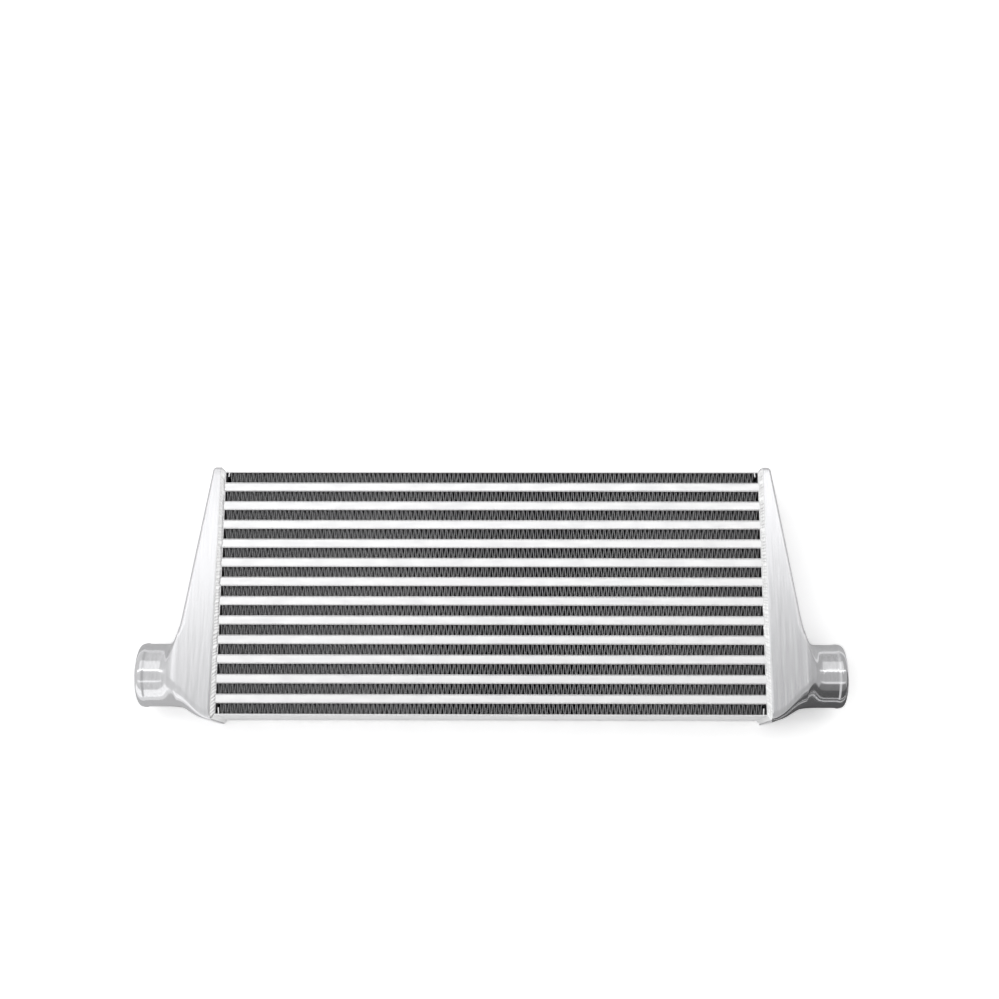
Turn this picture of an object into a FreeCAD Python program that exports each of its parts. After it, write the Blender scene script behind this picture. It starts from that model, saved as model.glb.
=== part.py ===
import FreeCAD, Part
import math
import os
from FreeCAD import Placement, Rotation, Vector

# Bar and plate intercooler with two cast end tanks, lying on its back.
# Millimetres. +X along the core, +Y across the rows away from the spouts, +Z out of the front face.
# The origin is on the surface that the tanks rest on, under the centre of the core.

os.makedirs("parts", exist_ok=True)
doc = FreeCAD.newDocument("intercooler")

# Driving sizes
sheet = doc.addObject("Spreadsheet::Sheet", "sizes")
sizes = {
    "fin_rows": 13,
    "core_length": 608.0,
    "core_depth": 76.0,
    "cooling_fin_height": 11.55,
    "closing_bar_height": 9.0,
    "closing_bar_width": 6.0,
    "closing_bar_chamfer": 0.7,
    "parting_sheet": 0.5,
    "side_sheet": 1.5,
    "end_bar_width": 4.0,
    "fin_end_gap": 3.5,
    "fin_recess": 0.8,
    "fin_gauge": 0.4,
    "cooling_fin_legs": 52,
    "charge_fin_gauge": 0.4,
    "charge_fin_legs": 12,
    "braze_clearance": 0.1,
    "tank_end_step": 5.0,
    "tank_face_step": 2.0,
    "tank_top_width": 10.6,
    "tank_slant": 0.1604,
    "tank_edge_radius": 4.0,
    "tank_face_grind": 0.4,
    "tank_wall": 4.0,
    "tank_lip_land": 3.0,
    "tank_lip_length": 4.0,
    "cavity_edge_radius": 1.5,
    "flare_start_above_axis": 66.5,
    "flare_length": 16.0,
    "flare_lead": 4.0,
    "lower_edge_lead": 9.0,
    "nose_length": 15.0,
    "spout_above_foot": 52.0,
    "spout_diameter": 70.0,
    "spout_wall": 3.5,
    "spout_straight": 31.0,
    "hose_bead_height": 1.2,
    "hose_bead_width": 7.0,
    "hose_bead_setback": 6.0,
    "weld_toe": 4.0,
    "weld_lap": 1.6,
    "weld_groove": 2.5,
    "weld_edge": 0.15,
    "weld_crown": 1.75,
}
for row, (alias, value) in enumerate(sizes.items(), start=1):
    sheet.set(f"A{row}", alias)
    sheet.set(f"B{row}", str(value))
    sheet.setAlias(f"B{row}", alias)
doc.recompute()


def size(alias):
    return float(sheet.get(alias))


def worth(text):
    """The value of an expression of the sheet's cells."""
    return float(sheet.evalExpression(text))


def bind(item, **properties):
    """Ties properties of one object to expressions of the sheet's cells."""
    for name, text in properties.items():
        item.setExpression(name.replace("__", "."), text)
    return item


nodes = []


def finish(item, label):
    """Names a finished sub-part and adds it to the ones that are written."""
    item.Label = label
    nodes.append(item)
    return item


# The stack: cooling rows and charge tubes repeat at one pitch up the core
PITCH = "(sizes.cooling_fin_height + sizes.closing_bar_height + 2 * sizes.parting_sheet)"
STACK = f"((sizes.fin_rows - 1) * {PITCH} + sizes.cooling_fin_height)"
CORE_TOP = f"({STACK} / 2 + sizes.side_sheet)"
CORE_END = "(sizes.core_length / 2)"
BACK = "sizes.tank_face_step"
MIDDLE = f"(sizes.core_depth / 2 + {BACK})"
rows = int(size("fin_rows"))


def block(name, x, y, z, length, width, height):
    """A plain bar or sheet: corner and edge lengths are all expressions."""
    item = doc.addObject("Part::Box", name)
    return bind(item, Length=length, Width=width, Height=height,
                Placement__Base__x=x, Placement__Base__y=y, Placement__Base__z=z)


def group(label, members):
    item = doc.addObject("Part::Compound", label)
    item.Links = members
    return finish(item, label)


# Side sheets: the two outer plates that close the stack at its top and bottom
for label, y in (("side_sheet_upper", f"{STACK} / 2"),
                 ("side_sheet_lower", f"-{STACK} / 2 - sizes.side_sheet")):
    plate = block(label, f"-{CORE_END}", y, BACK,
                  "sizes.core_length", "sizes.side_sheet", "sizes.core_depth")
    finish(plate, label)


# Parting sheets: the thin plates above and below each charge tube
for tube in range(1, rows):
    base = f"(-{STACK} / 2 + sizes.cooling_fin_height + {tube - 1} * {PITCH})"
    plates = [block(f"parting_sheet_{tube}_{side}", f"-{CORE_END}", y, BACK,
                    "sizes.core_length", "sizes.parting_sheet", "sizes.core_depth")
              for side, y in (("low", base),
                              ("high", f"{base} + sizes.parting_sheet + sizes.closing_bar_height"))]
    group(f"parting_sheets_{tube:02d}", plates)


# Closing bars: extruded bars that seal each charge tube along the front and the back face.
# Two places on a solid count as one when they are this near.
NEAR = 0.01


def closing_bar(name, tube, front):
    y = (f"-{STACK} / 2 + sizes.cooling_fin_height + {tube - 1} * {PITCH}"
         " + sizes.parting_sheet")
    z = f"{BACK} + sizes.core_depth - sizes.closing_bar_width" if front else BACK
    bar = block(f"{name}_blank", f"-{CORE_END}", y, z,
                "sizes.core_length", "sizes.closing_bar_height", "sizes.closing_bar_width")
    doc.recompute()
    outside = max(v.Z for v in bar.Shape.Vertexes) if front else min(v.Z for v in bar.Shape.Vertexes)
    cut = size("closing_bar_chamfer")
    edges = [(index, cut, cut) for index, edge in enumerate(bar.Shape.Edges, start=1)
             if edge.Length > size("core_length") - cut
             and abs(edge.CenterOfMass.z - outside) < NEAR]
    item = doc.addObject("Part::Chamfer", name)
    item.Base = bar
    item.Edges = edges
    return item


for tube in range(1, rows):
    bars = [closing_bar(f"closing_bar_{tube}_{side}", tube, side == "front") for side in ("front", "back")]
    group(f"closing_bars_{tube:02d}", bars)


# Folded fins: one zigzag strip, seen along its channels, from its gauge, height and leg count
def folded_strip(name, length, height, gauge, legs):
    """A closed zigzag face in the XY plane, centred, whose crests reach the full height."""
    run = length / legs
    bite = 1 - (gauge / run) ** 2
    rise = (height - math.sqrt(height ** 2 - bite * (height ** 2 - gauge ** 2))) / bite
    lift = height - rise
    lower = [Vector(-length / 2 + i * run, -height / 2 + (rise if i % 2 else 0), 0) for i in range(legs + 1)]
    upper = [point + Vector(0, lift, 0) for point in lower]
    outline = lower + upper[::-1] + lower[:1]
    item = doc.addObject("Part::Feature", name)
    item.Shape = Part.Face(Part.makePolygon(outline))
    return item


# Cooling fins: the dark rows that outside air goes through, from front to back
cooling_length = size("core_length") - 2 * (size("end_bar_width") + size("fin_end_gap"))
cooling_strip = folded_strip("cooling_fin_strip", cooling_length, size("cooling_fin_height"),
                             size("fin_gauge"), int(size("cooling_fin_legs")))
for row in range(1, rows + 1):
    label = f"cooling_fin_{row:02d}"
    fin = doc.addObject("Part::Extrusion", label)
    fin.Base = cooling_strip
    fin.DirMode = "Custom"
    fin.Dir = Vector(0, 0, 1)
    fin.Solid = True
    bind(fin, LengthFwd="sizes.core_depth - 2 * sizes.fin_recess",
         Placement__Base__y=f"-{STACK} / 2 + sizes.cooling_fin_height / 2 + {row - 1} * {PITCH}",
         Placement__Base__z=f"{BACK} + sizes.fin_recess")
    finish(fin, label)


# Charge fins: the folded strips inside the charge tubes, whose channels run along the core
charge_width = size("core_depth") - 2 * (size("closing_bar_width") + size("braze_clearance"))
charge_strip = folded_strip("charge_fin_strip", charge_width, size("closing_bar_height"),
                            size("charge_fin_gauge"), int(size("charge_fin_legs")))
charge_strip.Placement = Placement(Vector(0, 0, 0), Rotation(Vector(0, 1, 0), -90))
for tube in range(1, rows):
    label = f"charge_fin_{tube:02d}"
    fin = doc.addObject("Part::Extrusion", label)
    fin.Base = charge_strip
    fin.DirMode = "Custom"
    fin.Dir = Vector(1, 0, 0)
    fin.Solid = True
    bind(fin, LengthFwd="sizes.core_length",
         Placement__Base__x=f"-{CORE_END}",
         Placement__Base__y=(f"-{STACK} / 2 + sizes.cooling_fin_height + {tube - 1} * {PITCH}"
                             " + sizes.parting_sheet + sizes.closing_bar_height / 2"),
         Placement__Base__z=MIDDLE)
    finish(fin, label)


# End bars: short bars that close each cooling row against the tanks
for side, x in (("left", f"-{CORE_END}"), ("right", f"{CORE_END} - sizes.end_bar_width")):
    bars = [block(f"end_bar_{side}_{row}", x, f"-{STACK} / 2 + {row - 1} * {PITCH}", BACK,
                  "sizes.end_bar_width", "sizes.cooling_fin_height", "sizes.core_depth")
            for row in range(1, rows + 1)]
    group(f"end_bars_{side}", bars)


# End tank: a cast shell, flat in front and behind, that flares into a round spout.
# Its plan is a slanted outer edge, a concave flare and an S-shaped lower edge.
TANK_TOP = f"({CORE_TOP} + sizes.tank_end_step)"
SPOUT_Y = f"(sizes.spout_above_foot - {TANK_TOP})"
FLARE_Y = f"({SPOUT_Y} + sizes.flare_start_above_axis)"
FLARE_X = f"({CORE_END} + sizes.tank_top_width + sizes.tank_slant * ({TANK_TOP} - {FLARE_Y}))"
FLARE_END = f"({FLARE_X} + sizes.flare_length)"
NOSE_END = f"({FLARE_END} + sizes.flare_lead)"
RIM = f"({NOSE_END} + sizes.spout_straight)"
middle = worth(MIDDLE)
core_top = worth(CORE_TOP)
core_end = worth(CORE_END)
core_half_depth = size("core_depth") / 2
tank_top = worth(TANK_TOP)
spout_y = worth(SPOUT_Y)
spout_radius = size("spout_diameter") / 2
spout_top = spout_y + spout_radius
spout_bottom = spout_y - spout_radius
flare_x = worth(FLARE_X)
flare_y = worth(FLARE_Y)
flare_end = worth(FLARE_END)
nose_end = worth(NOSE_END)
nose_start = nose_end - size("nose_length")
lower_end = nose_end - size("lower_edge_lead")
slant = size("tank_slant")

# Each plan curve leaves its ends for this share of its length before it turns
FLARE_LEAVES_SLANT = 0.6
FLARE_MEETS_SPOUT = 0.64
LOWER_LEAVES_CORE = 0.42
LOWER_MEETS_SPOUT = 0.37
# The lower and the upper corners of the sections open out to the spout by these powers
LOWER_OPENING = 1.7
UPPER_OPENING = 2.5
# The form starts this far inside the core's end, where the mouth's bevel trims it
FORM_START = core_end - 14.0


def bezier(poles):
    curve = Part.BezierCurve()
    curve.setPoles(poles)
    return curve


flare_leaves = FLARE_LEAVES_SLANT * (flare_y - spout_top)
flare = bezier([Vector(flare_x, flare_y, 0),
                Vector(flare_x + slant * flare_leaves, flare_y - flare_leaves, 0),
                Vector(flare_end - FLARE_MEETS_SPOUT * (flare_end - flare_x), spout_top, 0),
                Vector(flare_end, spout_top, 0)])
lower_length = lower_end - core_end
lower = bezier([Vector(core_end, -tank_top, 0),
                Vector(core_end + LOWER_LEAVES_CORE * lower_length, -tank_top, 0),
                Vector(lower_end - LOWER_MEETS_SPOUT * lower_length, spout_bottom, 0),
                Vector(lower_end, spout_bottom, 0)])


def normal(curve, at, inside):
    """Unit normal of a plan curve that points towards the given side."""
    along = curve.tangent(at)[0]
    across = Vector(-along.y, along.x, 0)
    return across if across.dot(inside) > 0 else -across


def stretch(start, end, outline_normal):
    """How much longer a wall or a rounding gets where a slanting section line crosses it."""
    along = (end - start).normalize()
    return 1 / abs(along.dot(outline_normal))


def section(start, start_normal, end, end_normal, half_depth, start_radius, end_radius):
    """A rounded rectangle that stands on the plan line from start to end: four sides, four corners."""
    along = (end - start).normalize()
    reach = (end - start).Length
    start_run = start_radius * stretch(start, end, start_normal)
    end_run = end_radius * stretch(start, end, end_normal)

    def at(across, up):
        return start + along * across + Vector(0, 0, middle + up)

    def corner_arc(centre_across, centre_up, run, radius, first, last):
        points = [at(centre_across + run * math.cos(math.radians(angle)),
                     centre_up + radius * math.sin(math.radians(angle)))
                  for angle in (first, (first + last) / 2, last)]
        if abs(run - radius) < NEAR:
            return Part.Arc(*points).toShape()
        rim_point = at(centre_across + run, centre_up)
        crown_point = at(centre_across, centre_up + radius)
        centre = at(centre_across, centre_up)
        ellipse = Part.Ellipse(rim_point, crown_point, centre)
        ends = sorted(ellipse.parameter(point) for point in (points[0], points[2]))
        if ends[1] - ends[0] > math.pi:
            ends = [ends[1] - 2 * math.pi, ends[0]]
        return Part.ArcOfEllipse(ellipse, *ends).toShape()

    top = half_depth
    far = reach - end_run
    near = start_run
    edges = [
        Part.LineSegment(at(near, top), at(far, top)).toShape(),
        corner_arc(far, top - end_radius, end_run, end_radius, 90, 0),
        Part.LineSegment(at(reach, top - end_radius), at(reach, end_radius - top)).toShape(),
        corner_arc(far, end_radius - top, end_run, end_radius, 0, -90),
        Part.LineSegment(at(far, -top), at(near, -top)).toShape(),
        corner_arc(near, start_radius - top, start_run, start_radius, -90, -180),
        Part.LineSegment(at(0, start_radius - top), at(0, top - start_radius)).toShape(),
        corner_arc(near, top - start_radius, start_run, start_radius, 180, 90),
    ]
    return Part.Wire(edges)


def round_section(x, radius):
    """The spout's circle in eight arcs, which follow the sides and corners of a section."""
    def at(angle):
        turn = math.radians(angle)
        return Vector(x, spout_y + radius * math.cos(turn), middle + radius * math.sin(turn))

    half_side = 6
    stops = [quarter + side for quarter in (90, 0, -90, -180) for side in (half_side, -half_side)]
    stops.append(half_side - 270)
    arcs = [Part.Arc(at(first), at((first + last) / 2), at(last)).toShape()
            for first, last in zip(stops, stops[1:])]
    return Part.Wire(arcs)


def curve_at_x(curve, x):
    """Parameter of the plan curve at one x, by halving."""
    low, high = 0.0, 1.0
    for _ in range(40):
        half_way = (low + high) / 2
        if curve.value(half_way).x < x:
            low = half_way
        else:
            high = half_way
    return (low + high) / 2


def opened(x, start, power):
    """Radius of a section's corner: the edge radius at the start, the spout's at the nose's end."""
    share = min(max((x - start) / (nose_end - start), 0.0), 1.0)
    edge = size("tank_edge_radius")
    return edge + (spout_radius - edge) * share ** power


def profile(inset, face, bend_steps, nose_steps):
    """Plan of the straight part, sections round the bend, and sections of the nose.

    Inset is the depth of the form below the casting's outside, and face what its flat faces
    have left on them for grinding.
    """
    thin = size("cavity_edge_radius")
    edge = size("tank_edge_radius")
    half_depth = middle + face - inset
    down = Vector(0, -1, 0)
    up = Vector(0, 1, 0)
    slant_normal = Vector(-1, -slant, 0).normalize()

    def cut_section(start, start_normal, end, end_normal, start_radius, end_radius):
        along = (end - start).normalize()
        first = start + along * (inset * stretch(start, end, start_normal))
        last = end - along * (inset * stretch(start, end, end_normal))
        return section(first, start_normal, last, end_normal, half_depth,
                       max(start_radius - inset, thin), max(end_radius - inset, thin))

    foot = Vector(FORM_START, -tank_top, 0)
    hip = Vector(flare_x, flare_y, 0)
    top = Vector(core_end + size("tank_top_width"), tank_top, 0)
    across = (hip - foot).normalize()
    plan = [Vector(FORM_START, tank_top - inset, 0),
            top + Vector(slant * inset - inset * math.hypot(1, slant), -inset, 0),
            hip - across * (inset * stretch(foot, hip, slant_normal)),
            foot + across * (inset * stretch(foot, hip, up))]
    bend = [cut_section(foot, up, hip, slant_normal, edge, edge)]
    flare_last = curve_at_x(flare, nose_start)
    lower_last = curve_at_x(lower, nose_start)
    for step in range(bend_steps + 1):
        low_at = lower_last * step / bend_steps
        high_at = flare_last * (step + 1) / (bend_steps + 1)
        low = lower.value(low_at)
        high = flare.value(high_at)
        bend.append(cut_section(low, normal(lower, low_at, up), high, normal(flare, high_at, down),
                                opened(low.x, core_end, LOWER_OPENING), opened(high.x, flare_x, UPPER_OPENING)))
    nose = [bend[-1]]
    for step in range(1, nose_steps + 1):
        share = step / (nose_steps + 1)
        x = nose_start + share * size("nose_length")
        wall = inset + (size("spout_wall") - inset) * share if inset else 0
        high_y = flare.value(curve_at_x(flare, x)).y if x < flare_end else spout_top
        low_y = lower.value(curve_at_x(lower, x)).y if x < lower_end else spout_bottom
        drop = 1 - (1 - share) ** 2
        nose.append(section(Vector(x, low_y + wall, 0), up, Vector(x, high_y - wall, 0), down,
                            middle + face - (middle + face - spout_radius) * drop - wall,
                            opened(x, core_end, LOWER_OPENING) - wall,
                            opened(x, flare_x, UPPER_OPENING) - wall))
    nose.append(round_section(nose_end, spout_radius - (size("spout_wall") if inset else 0)))
    return plan, bend, nose


def loft(name, wires, ruled):
    sections = []
    for index, wire in enumerate(wires):
        ring = doc.addObject("Part::Feature", f"{name}_section_{index}")
        ring.Shape = wire
        sections.append(ring)
    item = doc.addObject("Part::Loft", name)
    item.Sections = sections
    item.Solid = True
    item.Ruled = ruled
    return item


def tank_form(name, inset, face, bend_steps, nose_steps):
    """Three solids that meet face to face: the straight part, the bend and the nose."""
    plan, bend, nose = profile(worth(inset), worth(face), bend_steps, nose_steps)
    outline = doc.addObject("Part::Feature", f"{name}_plan")
    outline.Shape = Part.Face(Part.makePolygon(plan + plan[:1]))
    prism = doc.addObject("Part::Extrusion", f"{name}_prism")
    prism.Base = outline
    prism.DirMode = "Custom"
    prism.Dir = Vector(0, 0, 1)
    prism.Solid = True
    bind(prism, LengthFwd=f"2 * ({MIDDLE} + {face} - {inset})", Placement__Base__z=f"{inset} - {face}")
    doc.recompute()
    radius = max(size("tank_edge_radius") - worth(inset), size("cavity_edge_radius"))
    edges = []
    for index, edge in enumerate(prism.Shape.Edges, start=1):
        centre = edge.CenterOfMass
        upright = abs(edge.tangentAt(edge.FirstParameter).z) > NEAR
        at_corner = upright and math.hypot(centre.x - plan[1].x, centre.y - plan[1].y) < NEAR
        on_top = not upright and abs(centre.y - plan[0].y) < NEAR
        on_slant = not upright and abs(centre.y - (plan[1].y + plan[2].y) / 2) < NEAR
        if at_corner or on_top or on_slant:
            edges.append((index, radius, radius))
    straight = doc.addObject("Part::Fillet", f"{name}_straight")
    straight.Base = prism
    straight.Edges = edges
    return [straight, loft(f"{name}_bend", bend, False), loft(f"{name}_nose", nose, False)]


def round_bar(name, radius, x, length):
    item = doc.addObject("Part::Cylinder", name)
    item.Placement = Placement(Vector(0, 0, 0), Rotation(Vector(0, 1, 0), 90))
    return bind(item, Radius=radius, Height=length, Placement__Base__x=x,
                Placement__Base__y=SPOUT_Y, Placement__Base__z=MIDDLE)


def fuse(name, members):
    item = doc.addObject("Part::MultiFuse", name)
    item.Shapes = members
    item.Refine = True
    return item


def cut(name, base, tool):
    item = doc.addObject("Part::Cut", name)
    item.Base = base
    item.Tool = tool
    return item


def common(name, base, tool):
    item = doc.addObject("Part::Common", name)
    item.Base = base
    item.Tool = tool
    return item


def box_between(name, low, high):
    """A block given by two corners, each three expressions."""
    return block(name, low[0], low[1], low[2],
                 *[f"({far}) - ({near})" for near, far in zip(low, high)])


def rectangle(x, half_height, half_depth):
    corners = [Vector(x, y, middle + z) for y, z in
               ((-half_height, -half_depth), (half_height, -half_depth),
                (half_height, half_depth), (-half_height, half_depth))]
    return Part.makePolygon(corners + corners[:1])


# The mouth is bevelled for the weld all round, from the core's own outline outwards,
# and past the bevel the front and back faces are ground flat
bevel = loft("mouth_bevel", [rectangle(core_end, core_top, core_half_depth),
                             rectangle(core_end + size("weld_groove"), tank_top, middle),
                             rectangle(worth(RIM), tank_top, middle)], True)
casting = fuse("tank_casting", tank_form("outer", "0", "sizes.tank_face_grind", bend_steps=4, nose_steps=3))

# The spout is a turned pipe end with a raised bead that keeps the hose on
spout = round_bar("spout_bar", "sizes.spout_diameter / 2", NOSE_END, "sizes.spout_straight")
bead = doc.addObject("Part::Torus", "hose_bead")
BEAD_ROUND = "((sizes.hose_bead_width^2 / 4 + sizes.hose_bead_height^2) / (2 * sizes.hose_bead_height))"
bead.Placement = Placement(Vector(0, 0, 0), Rotation(Vector(0, 1, 0), 90))
bind(bead, Radius1=f"sizes.spout_diameter / 2 + sizes.hose_bead_height - {BEAD_ROUND}",
     Radius2=BEAD_ROUND, Placement__Base__x=f"{RIM} - sizes.hose_bead_setback",
     Placement__Base__y=SPOUT_Y, Placement__Base__z=MIDDLE)
blank = fuse("tank_blank", [common("tank_ground", casting, bevel), spout, bead])
doc.recompute()

# The cavity: the same form one wall smaller, the spout's bore, and a mouth whose lip is thicker
LIP_END = f"{CORE_END} + sizes.tank_lip_length"
bore = round_bar("spout_bore", "sizes.spout_diameter / 2 - sizes.spout_wall", NOSE_END,
                 "sizes.spout_straight + sizes.spout_wall")
hollow = fuse("tank_hollow", tank_form("inner", "sizes.tank_wall", "0", bend_steps=3, nose_steps=1) + [bore])
lip = box_between("tank_lip", ("0", f"-{TANK_TOP}", "0"), (LIP_END, TANK_TOP, f"2 * {MIDDLE}"))
mouth = box_between(
    "tank_mouth",
    ("0", f"sizes.tank_lip_land - {CORE_TOP}", f"{BACK} + sizes.tank_lip_land"),
    (f"{LIP_END} + sizes.tank_wall", f"{CORE_TOP} - sizes.tank_lip_land",
     f"{BACK} + sizes.core_depth - sizes.tank_lip_land"))
cavity = fuse("tank_cavity", [cut("hollow_past_lip", hollow, lip), common("mouth_opening", hollow, mouth)])
tank_right = finish(cut("tank_right", blank, cavity), "tank_right")


def mirrored(label, source):
    item = doc.addObject("Part::Mirroring", label)
    item.Source = source
    item.Normal = Vector(1, 0, 0)
    return finish(item, label)


mirrored("tank_left", tank_right)


# Weld bead: fills the bevel round the joint, from a toe on the bars to a lap on the tank.
# Its shape is a list of places, each a share of the width and of the crown.
BEAD_SHAPE = ((0.0, 0.15), (0.3, 0.75), (0.7, 1.0))
end_spread = size("tank_end_step") / size("tank_face_step")


def bead_ring(x, height):
    return rectangle(x, core_top + height * end_spread, core_half_depth + height)


toe_x = core_end - size("weld_toe")
lap_x = core_end + size("weld_lap")
lap_height = size("tank_face_step") * size("weld_lap") / size("weld_groove") + size("weld_edge")
rings = [bead_ring(toe_x + across * (lap_x - toe_x), rise * size("weld_crown"))
         for across, rise in BEAD_SHAPE]
bead_form = loft("weld_form", rings + [bead_ring(lap_x, lap_height)], True)
core_block = box_between("core_outline", ("0", f"-{CORE_TOP}", BACK),
                         (CORE_END, CORE_TOP, f"{BACK} + sizes.core_depth"))
weld_right = finish(cut("weld_bead_right", cut("weld_off_core", bead_form, core_block), bevel),
                    "weld_bead_right")
mirrored("weld_bead_left", weld_right)

doc.recompute()
for item in doc.Objects:
    if "Invalid" in item.State or "Error" in item.State:
        raise RuntimeError(f"{item.Label} failed: {item.State}")
for item in nodes:
    if item.Shape.isNull() or not item.Shape.isValid():
        raise RuntimeError(f"{item.Label} has no valid shape")
for item in nodes:
    item.Shape.exportStep(f"parts/{item.Label}.step")
    box = item.Shape.BoundBox
    print(f"{item.Label}: {len(item.Shape.Solids)} solids, {item.Shape.Volume:.0f} mm3, "
          f"X {box.XMin:.2f} {box.XMax:.2f}, Y {box.YMin:.2f} {box.YMax:.2f}, Z {box.ZMin:.2f} {box.ZMax:.2f}")
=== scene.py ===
import math
import random
import bmesh
import bpy
from mathutils import Matrix, Vector


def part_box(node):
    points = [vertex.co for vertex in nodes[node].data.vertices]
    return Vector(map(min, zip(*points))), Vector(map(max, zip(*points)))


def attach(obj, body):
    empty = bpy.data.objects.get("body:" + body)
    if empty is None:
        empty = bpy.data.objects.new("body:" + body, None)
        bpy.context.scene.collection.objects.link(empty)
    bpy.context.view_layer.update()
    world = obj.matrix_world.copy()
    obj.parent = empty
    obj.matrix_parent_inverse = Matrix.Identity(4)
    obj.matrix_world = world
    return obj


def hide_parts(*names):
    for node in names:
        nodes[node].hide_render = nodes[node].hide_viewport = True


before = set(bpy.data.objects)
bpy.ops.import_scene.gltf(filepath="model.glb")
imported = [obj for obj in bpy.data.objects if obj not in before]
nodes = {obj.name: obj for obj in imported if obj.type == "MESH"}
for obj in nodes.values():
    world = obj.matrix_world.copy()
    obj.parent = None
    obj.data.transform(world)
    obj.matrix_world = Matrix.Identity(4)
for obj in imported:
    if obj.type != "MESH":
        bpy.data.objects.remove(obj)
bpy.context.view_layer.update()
MM = 0.001

# Camera: a 50 mm lens above the core and a little below its middle, as for a catalogue picture.
# The intercooler lies on its back, so this looks almost straight down at its front face.
CAMERA_PLACE = Vector((21.94, -240.37, 1613.75)) * MM
CAMERA_RIGHT = Vector((0.999966, 0.002756, -0.007760))
CAMERA_UP = Vector((-0.000991, 0.975741, 0.218928))
camera_data = bpy.data.cameras.new("camera")
camera_data.sensor_width = 36.0
camera_data.lens = 50.45
camera = bpy.data.objects.new("camera", camera_data)
camera_turn = Matrix((CAMERA_RIGHT, CAMERA_UP, CAMERA_RIGHT.cross(CAMERA_UP))).transposed().to_4x4()
camera.matrix_world = Matrix.Translation(CAMERA_PLACE) @ camera_turn
bpy.context.collection.objects.link(camera)
bpy.context.scene.camera = camera
bpy.context.scene.view_settings.view_transform = "Standard"


# Studio table: matt white board, wide enough to fill every view behind the object.
# Seen directly or in the metal it is the picture's white background, and it keeps the shadow.
TABLE_HALF = 30.0
BOARD_LIT = 0.8
BOARD_IN_METAL = 1.15
BOARD_SEEN = 1.55


def linear(hex_colour):
    """The linear colour of an sRGB hex value."""
    values = [int(hex_colour[i:i + 2], 16) / 255 for i in (0, 2, 4)]
    return tuple(v / 12.92 if v <= 0.04045 else ((v + 0.055) / 1.055) ** 2.4 for v in values) + (1.0,)


def add(tree, kind, inputs=None, **settings):
    """Adds one node. An input is a value, or the output socket of another node to link to."""
    node = tree.nodes.new(kind)
    for name, value in settings.items():
        setattr(node, name, value)
    for name, value in (inputs or {}).items():
        if isinstance(value, bpy.types.NodeSocket):
            tree.links.new(value, node.inputs[name])
        else:
            node.inputs[name].default_value = value
    return node


def new_tree(owner):
    """The empty node tree of a material or a world."""
    owner.use_nodes = True
    owner.node_tree.nodes.clear()
    return owner.node_tree


def blend(tree, share, first, second):
    """A colour between two colours or sockets."""
    return add(tree, "ShaderNodeMix", {0: share, 6: first, 7: second}, data_type="RGBA").outputs[2]


def greatest(tree, first, second):
    return add(tree, "ShaderNodeMath", {0: first, 1: second}, operation="MAXIMUM").outputs[0]


def studio_sheet(name, half_width, half_height, material):
    """A flat rectangle that belongs to the studio, in its own XY plane."""
    mesh = bpy.data.meshes.new(name)
    mesh.from_pydata([(-half_width, -half_height, 0), (half_width, -half_height, 0),
                      (half_width, half_height, 0), (-half_width, half_height, 0)], [], [(0, 1, 2, 3)])
    mesh.materials.append(material)
    item = bpy.data.objects.new(name, mesh)
    bpy.context.collection.objects.link(item)
    return item


board = bpy.data.materials.new("matt_white_board")
tree = new_tree(board)
path = add(tree, "ShaderNodeLightPath")
mirrored = greatest(tree, path.outputs["Is Glossy Ray"], path.outputs["Is Transmission Ray"])
unseen = blend(tree, mirrored, (BOARD_LIT,) * 3 + (1.0,), (BOARD_IN_METAL,) * 3 + (1.0,))
white = blend(tree, path.outputs["Is Camera Ray"], unseen, (BOARD_SEEN,) * 3 + (1.0,))
matt = add(tree, "ShaderNodeBsdfDiffuse", {"Color": white})
add(tree, "ShaderNodeOutputMaterial", {"Surface": matt.outputs[0]})
studio_sheet("table", TABLE_HALF, TABLE_HALF, board)


# Studio light: a pale room, brighter on the left, with strips and soft boxes above and on the left.
# Polished spouts show them as bright bands, and satin faces as slow gradients.
ROOM_LEFT = 0.83
ROOM_RIGHT = 0.54
ROOM_HORIZON = 1.0
room = bpy.data.worlds.new("pale_room")
bpy.context.scene.world = room
tree = new_tree(room)
toward = add(tree, "ShaderNodeTexCoord")
axes = add(tree, "ShaderNodeSeparateXYZ", {0: toward.outputs["Generated"]})
across = add(tree, "ShaderNodeMapRange", {0: axes.outputs["X"], 1: -0.3, 2: 0.3, 3: ROOM_LEFT, 4: ROOM_RIGHT})
level = add(tree, "ShaderNodeMapRange",
            {0: axes.outputs["Z"], 1: 0.02, 2: 0.1, 3: ROOM_HORIZON, 4: across.outputs[0]})
looked_at = add(tree, "ShaderNodeLightPath")
shown = greatest(tree, level.outputs[0], looked_at.outputs["Is Camera Ray"])
sky = add(tree, "ShaderNodeBackground", {"Color": (1.0, 1.0, 1.0, 1.0), "Strength": shown})
add(tree, "ShaderNodeOutputWorld", {"Surface": sky.outputs[0]})


def facing(place, aim, spin):
    """Turns a lamp or a card at one place towards another, and spins it in its own plane."""
    turn = (Vector(aim) - Vector(place)).to_track_quat("-Z", "Y").to_matrix().to_4x4()
    return turn @ Matrix.Rotation(spin, 4, "Z")


def soft_box(name, place, aim, width, height, radiance, spin=0.0):
    """A flat lamp of one radiance that the camera doesn't see."""
    data = bpy.data.lights.new(name, "AREA")
    data.shape = "RECTANGLE"
    data.size = width
    data.size_y = height
    data.energy = radiance * math.pi * width * height
    lamp = bpy.data.objects.new(name, data)
    lamp.matrix_world = Matrix.Translation(place) @ facing(place, aim, spin)
    lamp.visible_camera = False
    bpy.context.collection.objects.link(lamp)


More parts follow.
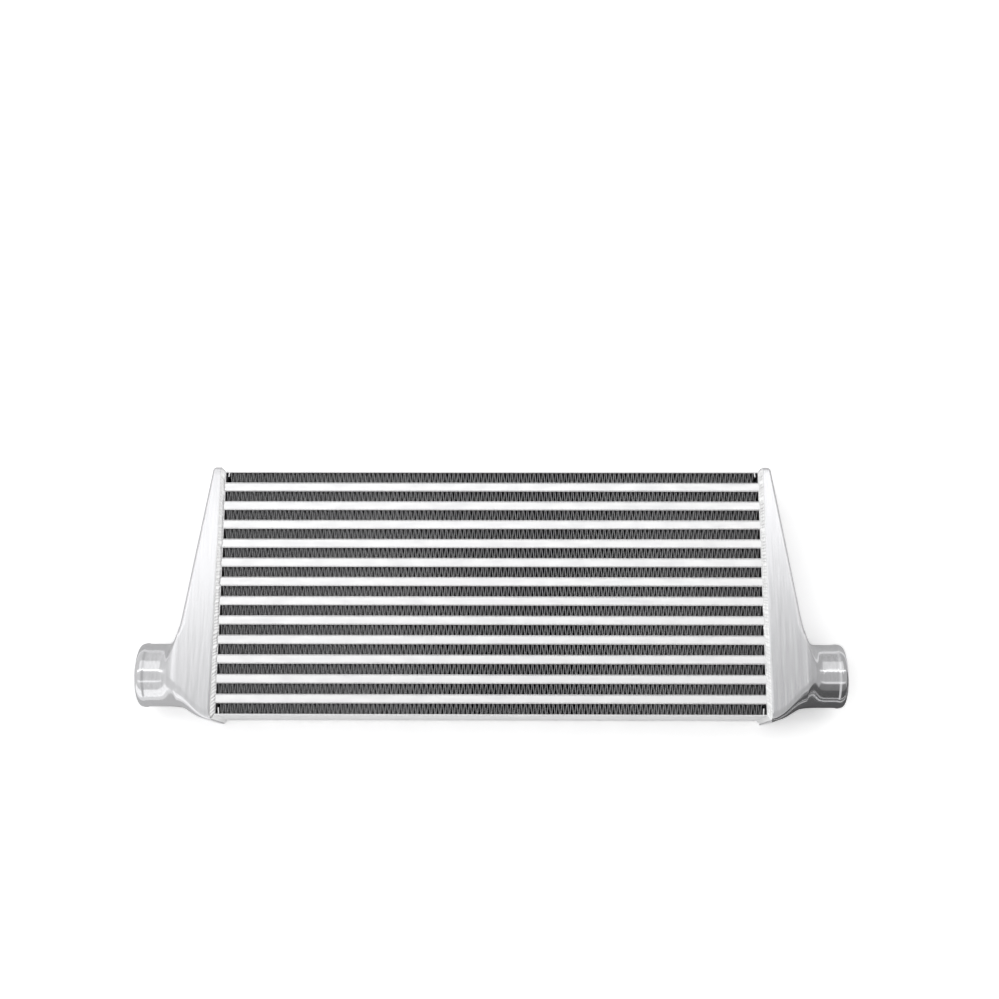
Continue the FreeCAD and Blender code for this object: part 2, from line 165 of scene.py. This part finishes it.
soft_box("overhead_strip", (0.0, 0.92, 4.0), (0.0, 0.1, 0.0), 8.8, 0.52, 1.2, math.radians(5))
soft_box("overhead_box", (0.0, 2.6, 4.0), (0.0, 0.1, 0.0), 5.6, 2.4, 0.37, math.radians(4))
soft_box("right_strip", (1.5, 0.95, 4.0), (0.4, 0.1, 0.0), 1.9, 0.5, 0.55, math.radians(5))
soft_box("left_box", (-1.8, -2.0, 0.62), (-1.2, 0.0, 0.4), 3.2, 1.25, 0.47)
soft_box("front_strip", (0.0, -1.16, 2.0), (0.0, -0.1, 0.0), 4.4, 0.22, 0.56)


# Studio cards: painted shade that only the metal shows. Grey and dark sheets stand and lie on the right,
# where the studio is dark, and pale sheets lie under the core and the left spout, for the table's shade
# there.
# The matt sheet of one painted-shade card.
def reflected_shade_material(name, hex_colour):
    material = bpy.data.materials.new(name)
    tree = new_tree(material)
    matt = add(tree, "ShaderNodeBsdfDiffuse", {"Color": linear(hex_colour)})
    add(tree, "ShaderNodeOutputMaterial", {"Surface": matt.outputs[0]})
    return material


def card(name, place, aim, half_width, half_height, material):
    """A card that shows only in polished metal, as a painted reflection of shade, and doesn't light or shade
    anything.
    """
    item = studio_sheet(name, half_width, half_height, material)
    item.matrix_world = Matrix.Translation(place) @ facing(place, aim, 0.0)
    item.visible_camera = False
    item.visible_diffuse = False
    item.visible_shadow = False


# Painted shade: these sheets darken the metal's reflections of the studio and of the table near the object.
grey_painted_shade_card = reflected_shade_material("grey_painted_shade_card", "989898")
dark_shade_card = reflected_shade_material("dark_painted_shade_card", "6E6E6E")
pale_shade_card = reflected_shade_material("pale_painted_shade_card", "E2E2E2")
card("standing_card_high", (1.3, -1.4, 1.42), (1.3, 0.0, 1.42), 1.0, 0.58, grey_painted_shade_card)
card("standing_card_low", (1.3, -1.4, 0.43), (1.3, 0.0, 0.43), 1.0, 0.41, dark_shade_card)
card("standing_card_side", (2.3, -0.6, 0.43), (0.0, -0.6, 0.43), 0.8, 0.41, dark_shade_card)
card("lying_card_far", (0.92, -0.565, 0.0008), (0.92, -0.565, 1.0), 0.6, 0.235, dark_shade_card)
card("lying_card_near", (0.92, -0.185, 0.0008), (0.92, -0.185, 1.0), 0.6, 0.085, dark_shade_card)
card("lying_card", (0.0, 0.14, 0.0004), (0.0, 0.14, 1.0), 0.7, 0.27, pale_shade_card)
card("lying_card_left", (-0.53, -0.205, 0.0004), (-0.53, -0.205, 1.0), 0.17, 0.075, pale_shade_card)


# Parting sheets, side sheets and end bars: rolled aluminium sheet, clad with braze alloy.
# The furnace leaves the clad surface satin, with faint cloudy patches where the braze ran.
def metal(name, hex_colour, roughness):
    """A bare metal: its tree and its shader, for the caller to add the surface's pattern to."""
    material = bpy.data.materials.new(name)
    tree = new_tree(material)
    shader = add(tree, "ShaderNodeBsdfPrincipled",
                 {"Base Color": linear(hex_colour), "Metallic": 1.0, "Roughness": roughness})
    add(tree, "ShaderNodeOutputMaterial", {"Surface": shader.outputs[0]})
    return material, tree, shader


def place_in(tree, stretch):
    """The point on the object, stretched so that a pattern runs longer along some axes."""
    point = add(tree, "ShaderNodeTexCoord")
    return add(tree, "ShaderNodeMapping", {0: point.outputs["Object"], "Scale": stretch}).outputs[0]


def cloud(tree, spot, size_mm, detail):
    """Soft noise whose patches are about one size across."""
    noise = add(tree, "ShaderNodeTexNoise", {"Vector": spot, "Scale": 1 / (size_mm * MM), "Detail": detail})
    return noise.outputs[0]


def spread(tree, value, low, high, low_value, high_value):
    """A pattern's value between two limits, as a value between two others."""
    between = add(tree, "ShaderNodeMapRange", {0: value, 1: low, 2: high, 3: low_value, 4: high_value})
    return between.outputs[0]


def tint(tree, shader, share, first, second):
    """Colours a metal between two hex colours, by a pattern's value from 0 to 1."""
    tree.links.new(blend(tree, share, linear(first), linear(second)), shader.inputs["Base Color"])


def roughen(tree, shader, roughness):
    tree.links.new(roughness, shader.inputs["Roughness"])


def bumps(tree, shader, value, height_mm):
    relief = add(tree, "ShaderNodeBump", {"Height": value, "Strength": 1.0, "Distance": height_mm * MM})
    tree.links.new(relief.outputs[0], shader.inputs["Normal"])


def give(material, *names):
    """Makes a material the only one of the named nodes."""
    for name in names:
        nodes[name].data.materials.clear()
        nodes[name].data.materials.append(material)


def named(*starts):
    return [name for name in nodes if name.startswith(starts)]


brazed_sheet, tree, shader = metal("brazed_aluminium_sheet", "E6E6E7", 0.42)
patches = cloud(tree, place_in(tree, (0.4, 1.0, 1.0)), 9.0, 4.0)
tint(tree, shader, spread(tree, patches, 0.35, 0.65, 0.0, 1.0), "E2E2E3", "EDEDED")
roughen(tree, shader, spread(tree, patches, 0.3, 0.7, 0.4, 0.46))
bumps(tree, shader, cloud(tree, place_in(tree, (1.0, 1.0, 1.0)), 1.2, 2.0), 0.03)
give(brazed_sheet, *named("side_sheet", "parting_sheets", "end_bars"))


# Closing bars: extruded aluminium bars that seal the charge tubes, with faced, satin fronts.
# Long drawing marks run along them, and the braze has dulled them in patches.
bar_stock, tree, shader = metal("extruded_aluminium_bar", "F8F8F8", 0.44)
marks = cloud(tree, place_in(tree, (0.02, 1.0, 1.0)), 0.9, 3.0)
dulled = cloud(tree, place_in(tree, (0.3, 1.0, 1.0)), 7.0, 4.0)
tint(tree, shader, spread(tree, dulled, 0.35, 0.7, 0.0, 1.0), "FCFCFC", "F3F3F4")
roughen(tree, shader, spread(tree, dulled, 0.3, 0.7, 0.4, 0.46))
bumps(tree, shader, marks, 0.02)
give(bar_stock, *named("closing_bars"))


# Charge fins: thin aluminium strip, folded, inside the tubes and seen only through the spouts.
# The strip comes out of the furnace dull, with stains along its channels.
fin_strip, tree, shader = metal("folded_aluminium_strip", "BFBFC0", 0.55)
stain = cloud(tree, place_in(tree, (1.0, 1.0, 0.4)), 5.0, 3.0)
tint(tree, shader, spread(tree, stain, 0.3, 0.7, 0.0, 1.0), "B5B5B7", "C9C9CA")
give(fin_strip, *named("charge_fin"))


# Cooling fins: one thin aluminium strip to a row, folded back and forth and brazed at each crest.
# It is lanced: every few millimetres of depth the folds step part of a gap sideways and stir the air.
# The crests' width, that step and the slips of single legs are shares of the room of one leg.
FOLD_LEG = 2.52 * MM
STRIP_GAUGE = 0.3 * MM
CREST = 0.42
LANCE = 4.0 * MM
LANCES_SEEN = 4
LANCE_STEP = 0.28
LEG_SLIP = 0.09
END_REACH = 2.0 * MM
FLANGE_ROOM = -1.2 * MM
shuffle = random.Random(7)


def clamped(value, low, high):
    return min(max(value, low), high)


def piece(name, points, faces, material, smooth=False):
    """A mesh object in the object's frame, riding on its only body."""
    mesh = bpy.data.meshes.new(name)
    mesh.from_pydata(points, [], faces)
    mesh.materials.append(material)
    mesh.polygons.foreach_set("use_smooth", [smooth] * len(mesh.polygons))
    mesh.update()
    item = bpy.data.objects.new(name, mesh)
    bpy.context.collection.objects.link(item)
    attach(item, "root")
    return item


def folded_row(name, low, high, reach):
    """One row of folded strip in a node's box, made longer at both ends by its reach."""
    low.x -= reach
    high.x += reach
    legs = int((high.x - low.x) / FOLD_LEG)
    half = STRIP_GAUGE / 2
    slips = [shuffle.uniform(-LEG_SLIP, LEG_SLIP) for _ in range(legs + 1)]
    cuts = [high.z - LANCE * step for step in range(LANCES_SEEN + 1)]
    cuts += [low.z + LANCE * step for step in range(LANCES_SEEN, -1, -1)]
    points = []
    faces = []
    for layer, (front, back) in enumerate(zip(cuts, cuts[1:])):
        shift = LANCE_STEP if layer % 2 else 0.0
        start = len(points)
        for index in range(legs + 1):
            y = high.y if index % 2 == 0 else low.y
            for end in (-CREST / 2, CREST / 2):
                along = clamped(index + shift + slips[index] + end, 0.0, legs)
                x = low.x + half + (high.x - low.x - STRIP_GAUGE) * along / legs
                points += [(x + aside, y, z) for z in (front, back) for aside in (-half, half)]
        for index in range(2 * legs + 1):
            a = start + 4 * index
            b = a + 4
            faces += [(a, a + 1, b + 1, b), (a + 3, a + 2, b + 2, b + 3),
                      (a, b, b + 2, a + 2), (a + 1, a + 3, b + 3, b + 1)]
    return piece(name, points, faces, fin_strip)


cooling_rows = sorted(named("cooling_fin"))
for name in cooling_rows:
    low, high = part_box(name)
    outermost = name in (cooling_rows[0], cooling_rows[-1])
    row = folded_row(name.replace("cooling_fin", "folded_fin"), low, high,
                     FLANGE_ROOM if outermost else END_REACH)
    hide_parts(name)
give(fin_strip, *cooling_rows)


# Side sheet flanges: both ends of each side sheet are bent inwards as a short flange,
# which stands in front of the outermost end bar and shows as a bright edge in each corner.
FLANGE_OUTSIDE = 297.0 * MM
FLANGE_GAUGE = 1.3 * MM
FLANGE_FRONT = 77.6 * MM
FLANGE_DEPTH = 16.0 * MM
FLANGE_LEAN = 0.5 * MM
FLANGES = (("upper", 135.2 * MM, 130.4 * MM), ("lower", -135.2 * MM, -128.2 * MM))
BOX_FACES = [(0, 1, 3, 2), (4, 6, 7, 5), (0, 4, 5, 1), (2, 3, 7, 6), (0, 2, 6, 4), (1, 5, 7, 3)]
for place, root, tip in FLANGES:
    for hand, side in (("left", -1), ("right", 1)):
        xs = (side * FLANGE_OUTSIDE, side * (FLANGE_OUTSIDE - FLANGE_GAUGE))
        corners = [(x + (side * FLANGE_LEAN if y == tip else 0.0), y, z) for x in xs for y in (root, tip)
                   for z in (FLANGE_FRONT - FLANGE_DEPTH, FLANGE_FRONT)]
        piece(f"side_sheet_flange_{place}_{hand}", corners, BOX_FACES, brazed_sheet)


# End tanks: cast aluminium shells, each welded to the core and flaring into a round spout.
# Front and back are ground flat on a belt, the spout is turned and polished, and the inside is raw.
# The tanks' shape is worked out in millimetres for the right tank, with its middle depth at zero.
TURNED_FROM = 355.0 * MM
TURNED_FULLY = 366.0 * MM
cast_skin, tree, shader = metal("ground_cast_aluminium", "D8D8DA", 0.24)
spot = add(tree, "ShaderNodeTexCoord")
axes = add(tree, "ShaderNodeSeparateXYZ", {0: spot.outputs["Object"]})
outward = add(tree, "ShaderNodeMath", {0: axes.outputs["X"]}, operation="ABSOLUTE").outputs[0]
turned = spread(tree, outward, TURNED_FROM, TURNED_FULLY, 0.0, 1.0)
facings = add(tree, "ShaderNodeSeparateXYZ", {0: spot.outputs["Normal"]})
level_part = add(tree, "ShaderNodeMath", {0: facings.outputs["Z"]}, operation="ABSOLUTE").outputs[0]
rounded = spread(tree, level_part, 0.96, 0.88, 0.0, 0.8)
streaks = cloud(tree, place_in(tree, (1.0, 0.05, 1.0)), 2.2, 3.0)
polish = add(tree, "ShaderNodeMix",
             {0: greatest(tree, turned, rounded), 2: spread(tree, streaks, 0.3, 0.7, 0.22, 0.25), 3: 0.13})
roughen(tree, shader, polish.outputs[0])
tint(tree, shader, spread(tree, streaks, 0.3, 0.7, 0.0, 1.0), "D3D3D5", "DDDDDF")
bumps(tree, shader, streaks, 0.002)

raw_casting, tree, shader = metal("raw_cast_aluminium", "BEBEC0", 0.55)
bumps(tree, shader, cloud(tree, place_in(tree, (1.0, 1.0, 1.0)), 1.5, 3.0), 0.1)

MIDDLE = 40.0
CORE_END = 304.0
MOUTH = 305.6
MOUTH_BEVEL = ((0.0, 0.4), (0.15, 0.15), (0.5, 0.0))
TANK_TOP_WIDTH = 10.6
SLANT = 0.1604
EDGE = 4.0
LEAST_EDGE = 0.05
GRIND = 0.4
SPOUT_ABOVE_FOOT = 52.0
SPOUT_RADIUS = 35.0
SPOUT_BORE = 31.5
WALL = SPOUT_RADIUS - SPOUT_BORE
FLARE_ABOVE_AXIS = 66.5
FLARE_LENGTH = 16.0
FLARE_LEAD = 4.0
FLARE_LEAVES_SLANT = 0.6
FLARE_MEETS_SPOUT = 0.64
UPPER_OPENING = 2.5
LOWER_LEAD = 9.0
LOWER_LEAVES_CORE = 0.42
LOWER_MEETS_SPOUT = 0.37
LOWER_LAP = 1.2
LOWER_OPENING = 1.4
NOSE_LENGTH = 17.0
NOSE_BLEND = 5.5
BEAD_SETBACK = 7.0
BEAD_HALF = 4.0
BEAD_RISE = 0.7
LIP_RADIUS = 32.2
BORE_ROUND = LIP_RADIUS - SPOUT_BORE
MERGE = 0.02

tank_low, tank_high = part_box("tank_right")
tank_top = tank_high.y / MM
tank_floor = tank_low.y / MM
rim = tank_high.x / MM
spout_y = SPOUT_ABOVE_FOOT - tank_top
spout_top = spout_y + SPOUT_RADIUS
spout_bottom = spout_y - SPOUT_RADIUS
corner_x = CORE_END + TANK_TOP_WIDTH
flare_y = spout_y + FLARE_ABOVE_AXIS
flare_x = corner_x + SLANT * (tank_top - flare_y)
flare_end = flare_x + FLARE_LENGTH
nose_end = flare_end + FLARE_LEAD
lower_end = nose_end - LOWER_LEAD
nose_start = nose_end - NOSE_LENGTH
nose_close = nose_end + NOSE_BLEND

flare_leaves = FLARE_LEAVES_SLANT * (flare_y - spout_top)
FLARE = [(flare_x, flare_y), (flare_x + SLANT * flare_leaves, flare_y - flare_leaves),
         (flare_end - FLARE_MEETS_SPOUT * FLARE_LENGTH, spout_top), (flare_end, spout_top)]
lower_length = lower_end - CORE_END
LOWER = [(CORE_END, -tank_top), (CORE_END + LOWER_LEAVES_CORE * lower_length, -tank_top),
         (lower_end - LOWER_MEETS_SPOUT * lower_length, spout_bottom), (lower_end, spout_bottom)]

CAP_STEPS = 8
ROW_STEPS = 24
FAN_STEPS = 24
BEND_STEPS = 36
NOSE_STEPS = 20
FLAT_STEPS = 12
ARC_STEPS = 10
SIDE_STEPS = 4
SIDE_TURN = math.radians(6)
BARREL_STEPS = 7
BEAD_STEPS = 10
LIP_STEPS = 12
BORE_STEPS = 8


def curve(poles, share):
    """A point and a direction on a cubic curve through its first and last pole."""
    a, b, c, d = [Vector(pole) for pole in poles]
    t, u = share, 1 - share
    point = a * u ** 3 + b * 3 * u * u * t + c * 3 * u * t * t + d * t ** 3
    along = (b - a) * 3 * u * u + (c - b) * 6 * u * t + (d - c) * 3 * t * t
    return point, along.normalized()


def share_at(poles, x):
    """The share of a curve at which it passes a place along the core."""
    low, high = 0.0, 1.0
    for _ in range(40):
        half_way = (low + high) / 2
        if curve(poles, half_way)[0].x < x:
            low = half_way
        else:
            high = half_way
    return (low + high) / 2


def opened(x, start, power):
    """The edge radius of a section, which opens out to the spout's radius along the nose."""
    return EDGE + (SPOUT_RADIUS - EDGE) * clamped((x - start) / (nose_end - start), 0.0, 1.0) ** power


def smooth_step(share):
    """A share that leaves 0 and meets 1 level, so that what it blends shows no crease."""
    return share ** 2 * (3 - 2 * share)


def quarter(reach, radius, run, half_depth, grind):
    """Across and up of one rounded corner: from the crown, round to the middle of the side."""
    first = math.acos((radius - grind) / radius) if grind else 0.0
    low_up = half_depth + grind - radius
    marks = []
    for step in range(ARC_STEPS + 1):
        angle = first + (math.pi / 2 - first) * step / ARC_STEPS
        marks.append((reach - run + run * math.sin(angle), low_up + radius * math.cos(angle)))
    marks += [(reach, low_up * (1 - step / SIDE_STEPS)) for step in range(1, SIDE_STEPS + 1)]
    return marks


def section(start, end, radii, normals, half_depth, grind, closed):
    """Points of a section from the middle of its start side, over the front, to the middle of its end."""
    along = (end - start).normalized()
    reach = (end - start).length

    def corner(which):
        return quarter(reach, radii[which], radii[which] / abs(along.dot(normals[which])), half_depth, grind)

    far = corner(1)
    if closed:
        near = [(reach - across, up) for across, up in corner(0)][::-1]
    else:
        near = [(across, half_depth - down) for across, down in MOUTH_BEVEL]
    flat = [(near[-1][0] + (far[0][0] - near[-1][0]) * step / FLAT_STEPS, half_depth)
            for step in range(1, FLAT_STEPS)]
    return [Vector((start.x + along.x * across, start.y + along.y * across, up))
            for across, up in near + flat + far]


def mirrored_round(loop):
    """Adds the back half of a section, which mirrors its front half."""
    return loop + [Vector((p.x, p.y, -p.z)) for p in reversed(loop)][1:]


def ring(x, radius):
    """A circle whose points answer those of a section one by one."""
    quarter_turn = math.pi / 2
    marks = [-quarter_turn + SIDE_TURN * step / SIDE_STEPS for step in range(SIDE_STEPS)]
    marks += [-quarter_turn + SIDE_TURN + (quarter_turn - 2 * SIDE_TURN) * step / ARC_STEPS
              for step in range(ARC_STEPS + 1)]
    marks += [-SIDE_TURN + 2 * SIDE_TURN * step / FLAT_STEPS for step in range(1, FLAT_STEPS)]
    marks += [SIDE_TURN + (quarter_turn - 2 * SIDE_TURN) * step / ARC_STEPS for step in range(ARC_STEPS + 1)]
    marks += [quarter_turn - SIDE_TURN + SIDE_TURN * step / SIDE_STEPS for step in range(1, SIDE_STEPS + 1)]
    return [Vector((x, spout_y + radius * math.sin(turn), radius * math.cos(turn))) for turn in marks]


# The upper tank, from its rounded top down: sections that are open towards the core
straight = []
level = Vector((0, 1))
slant_normal = Vector((1, SLANT)).normalized()
for step in range(CAP_STEPS + 1):
    lean = math.radians(90 * (1 - step / CAP_STEPS))
    y = tank_top - EDGE + EDGE * math.sin(lean)
    inset = EDGE * (1 - math.cos(lean))
    radius = max(EDGE * math.cos(lean), LEAST_EDGE)
    end_x = corner_x + SLANT * (tank_top - y) - inset * math.hypot(1, SLANT)
    straight.append(section(Vector((MOUTH, y)), Vector((end_x, y)), (0, radius), (level, slant_normal),
                            MIDDLE - inset, min(GRIND, radius / 2), False))
for step in range(1, ROW_STEPS + 1):
    y = tank_top - EDGE + (flare_y - tank_top + EDGE) * step / ROW_STEPS
    end_x = corner_x + SLANT * (tank_top - y)
    straight.append(section(Vector((MOUTH, y)), Vector((end_x, y)), (0, EDGE), (level, slant_normal),
                            MIDDLE, GRIND, False))

# Below the slant the sections fan out from the point where the flare starts
hip = Vector((flare_x, flare_y))
for step in range(1, FAN_STEPS + 1):
    y = flare_y + (EDGE - tank_top - flare_y) * step / FAN_STEPS
    straight.append(section(Vector((MOUTH, y)), hip, (0, EDGE), (level, slant_normal),
                            MIDDLE, GRIND, False))

# The bend: closed sections between the lower edge and the flare, whose edges open out
bend = []
first_low = share_at(LOWER, MOUTH - LOWER_LAP)
last_low = share_at(LOWER, nose_start)
last_high = share_at(FLARE, nose_start)
for step in range(BEND_STEPS + 1):
    share = step / BEND_STEPS
    low, low_along = curve(LOWER, first_low + (last_low - first_low) * share)
    high, high_along = curve(FLARE, last_high * share)
    bend.append(section(low, high,
                        (opened(low.x, CORE_END, LOWER_OPENING), opened(high.x, flare_x, UPPER_OPENING)),
                        (Vector((-low_along.y, low_along.x)), Vector((-high_along.y, high_along.x))),
                        MIDDLE, GRIND, True))

# The nose: what is left of the rounded box blends into the round spout
for step in range(1, NOSE_STEPS + 1):
    share = step / NOSE_STEPS
    x = nose_start + (nose_close - nose_start) * share
    high_y = curve(FLARE, share_at(FLARE, x))[0].y if x < flare_end else spout_top
    low_y = curve(LOWER, share_at(LOWER, x))[0].y if x < lower_end else spout_bottom
    box = section(Vector((x, low_y)), Vector((x, high_y)),
                  (opened(x, CORE_END, LOWER_OPENING), opened(x, flare_x, UPPER_OPENING)), (level, level),
                  MIDDLE, GRIND * (1 - share), True)
    weight = smooth_step(share)
    bend.append([a.lerp(b, weight) for a, b in zip(box, ring(x, SPOUT_RADIUS))])

# The turned part, as places along the spout and radii: barrel, hose bead, rolled lip and bore
bead_centre = rim - BEAD_SETBACK
barrel = bead_centre - BEAD_HALF - nose_close
turned_rings = [(nose_close + barrel * step / BARREL_STEPS, SPOUT_RADIUS) for step in range(1, BARREL_STEPS)]
for step in range(BEAD_STEPS + 1):
    across = step / BEAD_STEPS - 1
    turned_rings.append((bead_centre + BEAD_HALF * across,
                         SPOUT_RADIUS + BEAD_RISE * (0.5 + 0.5 * math.cos(math.pi * across))))
for step in range(1, LIP_STEPS + 1):
    lean = math.pi / 2 * step / LIP_STEPS
    turned_rings.append((bead_centre + BEAD_SETBACK * math.sin(lean),
                         LIP_RADIUS + (SPOUT_RADIUS + BEAD_RISE - LIP_RADIUS) * math.cos(lean)))
bore_start = rim - BORE_ROUND
for angle in (30, 60, 90):
    lean = math.radians(angle)
    turned_rings.append((bore_start + BORE_ROUND * math.cos(lean), LIP_RADIUS - BORE_ROUND * math.sin(lean)))
turned_rings += [(bore_start + (nose_close - bore_start) * step / BORE_STEPS, SPOUT_BORE)
                 for step in range(1, BORE_STEPS + 1)]
turned_part = [ring(x, radius) for x, radius in turned_rings]


def tank(name, inside_name, side):
    """One tank's outer skin with its spout and bore, and the raw inner skin under it."""
    points = []
    faces = []

    def strip(loops, wrap):
        """Joins sections to each other, and each to itself where it goes all round."""
        first = len(points)
        for loop in loops:
            full = mirrored_round(loop)
            if wrap:
                full = full[:-1]
            points.extend((side * p.x * MM, max(p.y, tank_floor) * MM, (p.z + MIDDLE) * MM) for p in full)
        count = (len(points) - first) // len(loops)
        for a in range(first, len(points) - count, count):
            b = a + count
            for i in range(count if wrap else count - 1):
                j = (i + 1) % count
                quad = (a + i, b + i, b + j, a + j)
                faces.append(quad if side > 0 else quad[::-1])
        return tuple(range(first, first + count))

    cap_face = strip(straight, False)
    faces.append(cap_face if side > 0 else cap_face[::-1])
    strip(bend + turned_part, True)
    item = piece(name, points, faces, cast_skin, smooth=True)
    skin = item.data
    joined = bmesh.new()
    joined.from_mesh(skin)
    bmesh.ops.remove_doubles(joined, verts=joined.verts, dist=MERGE * MM)
    joined.to_mesh(skin)
    joined.free()
    inside = [vertex.co - vertex.normal * WALL * MM for vertex in skin.vertices]
    inner_end = (nose_close + MERGE / 2) * MM
    inner_faces = [tuple(face.vertices)[::-1] for face in skin.polygons
                   if all(abs(skin.vertices[i].co.x) < inner_end for i in face.vertices)]
    piece(inside_name, inside, inner_faces, raw_casting, smooth=True)
    return item


for hand, side in (("right", 1), ("left", -1)):
    shell = tank(f"cast_tank_{hand}", f"tank_inside_{hand}", side)
    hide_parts(f"tank_{hand}")
give(cast_skin, "tank_left", "tank_right")


# Weld beads: one run of filler metal right round each joint, laid by hand with a TIG torch.
# It fills the bevel between core and tank, with overlapping ripples and a wavy toe on the core.
# Lengths are millimetres here too.
BEAD_TOE = 300.0
BEAD_LAP = 306.2
TANK_END_STEP = 5.0
TANK_FACE_STEP = 2.0
END_BEVEL = (301.0, 5.5)
FACE_BEVEL = (CORE_END, 2.5)
ROOT_DEPTH = 0.1
CORE_TOP = tank_top - TANK_END_STEP
CORE_HALF_DEPTH = 38.0
CROWN = 0.5
CROWN_SHAPE = 0.8
END_CROWN = 0.7
RIPPLE = 3.9
RIPPLE_CROWN = 1.2
RIPPLE_SHAPE = 0.6
RIPPLE_LEAN = 0.25
TOE_SWAY = 0.7
TOE_WAVE = 0.6
SWAY = 0.9
SWAYS = 400
UNEVEN = 0.5
ACROSS_STEPS = 10
CORNER = 3.0
CORNER_STEPS = 5
SIDE_STEP = 0.8
CLEAR_OF_BOX = 0.05
CLEAR_OF_FACE = 0.03
weld_metal = metal("weld_aluminium", "F2F2F2", 0.34)[0]


def round_the_joint():
    """Samples of the path: shares of the half height and depth, the way out, and the length so far."""
    high = 2 * (CORE_TOP + TANK_END_STEP / 2 - CORNER)
    deep = 2 * (CORE_HALF_DEPTH + TANK_FACE_STEP / 2 - CORNER)
    sides = (((-1, 1), (1, 1), (0, 1), high), ((1, 1), (1, -1), (1, 0), deep),
             ((1, -1), (-1, -1), (0, -1), high), ((-1, -1), (-1, 1), (-1, 0), deep))
    path = []
    length = 0.0
    for first, last, out, run in sides:
        count = int(run / SIDE_STEP)
        for step in range(count):
            share = step / count
            path.append((first[0] + (last[0] - first[0]) * share, first[1] + (last[1] - first[1]) * share,
                         out[0], out[1], length + run * share))
        length += run
        after = (out[1], -out[0])
        for step in range(CORNER_STEPS):
            turn = math.pi / 2 * step / CORNER_STEPS
            path.append((last[0], last[1], out[0] * math.cos(turn) + after[0] * math.sin(turn),
                         out[1] * math.cos(turn) + after[1] * math.sin(turn), length + CORNER * turn))
        length += CORNER * math.pi / 2
    return path


def risen(x, bevel):
    """How much of the step between core and tank the bevel has climbed at a place along the core."""
    return clamped((x - bevel[0]) / bevel[1], 0.0, 1.0)


def weld_bead(name, side):
    """One bead: its toe on the core and its lift vary from ripple to ripple by a slow random drift."""
    path = round_the_joint()
    sway = [shuffle.uniform(-SWAY, SWAY) for _ in range(SWAYS)]
    points = []
    for high, deep, out_y, out_z, length in path:
        beat = length / RIPPLE
        whole = int(beat)
        drift = sway[whole] + (sway[whole + 1] - sway[whole]) * (beat - whole)
        for step in range(ACROSS_STEPS + 1):
            share = step / ACROSS_STEPS
            crown = math.sin(math.pi * share) ** CROWN_SHAPE
            ripple = abs(math.sin(math.pi * (beat + UNEVEN * drift - RIPPLE_LEAN * crown))) ** RIPPLE_SHAPE
            toe = TOE_SWAY * drift + TOE_WAVE * abs(math.sin(math.pi * (beat + UNEVEN * drift)))
            x = BEAD_TOE + (BEAD_LAP - BEAD_TOE) * share + toe * max(1 - 2 * share, 0.0)
            half_height = CORE_TOP + TANK_END_STEP * risen(x, END_BEVEL) - ROOT_DEPTH
            half_depth = CORE_HALF_DEPTH + TANK_FACE_STEP * risen(x, FACE_BEVEL) - ROOT_DEPTH
            lift = crown * (CROWN + RIPPLE_CROWN * ripple * (1 + UNEVEN * drift))
            end_lift = lift * (END_CROWN * abs(out_y) + abs(out_z))
            y = high * (half_height - CORNER) + (CORNER + end_lift) * out_y
            z = deep * (half_depth - CORNER) + (CORNER + lift) * out_z
            y = clamped(y, tank_floor + CLEAR_OF_BOX, tank_top - CLEAR_OF_BOX)
            z = clamped(z, CLEAR_OF_FACE - MIDDLE, MIDDLE - CLEAR_OF_FACE)
            points.append((side * x * MM, y * MM, (z + MIDDLE) * MM))
    width = ACROSS_STEPS + 1
    faces = []
    for row in range(len(path)):
        here = row * width
        there = (row + 1) % len(path) * width
        for step in range(ACROSS_STEPS):
            quad = (here + step, here + step + 1, there + step + 1, there + step)
            faces.append(quad if side > 0 else quad[::-1])
    return piece(name, points, faces, weld_metal, smooth=True)


for hand, side in (("left", -1), ("right", 1)):
    bead = weld_bead(f"rippled_weld_{hand}", side)
    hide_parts(f"weld_bead_{hand}")
give(weld_metal, "weld_bead_left", "weld_bead_right")
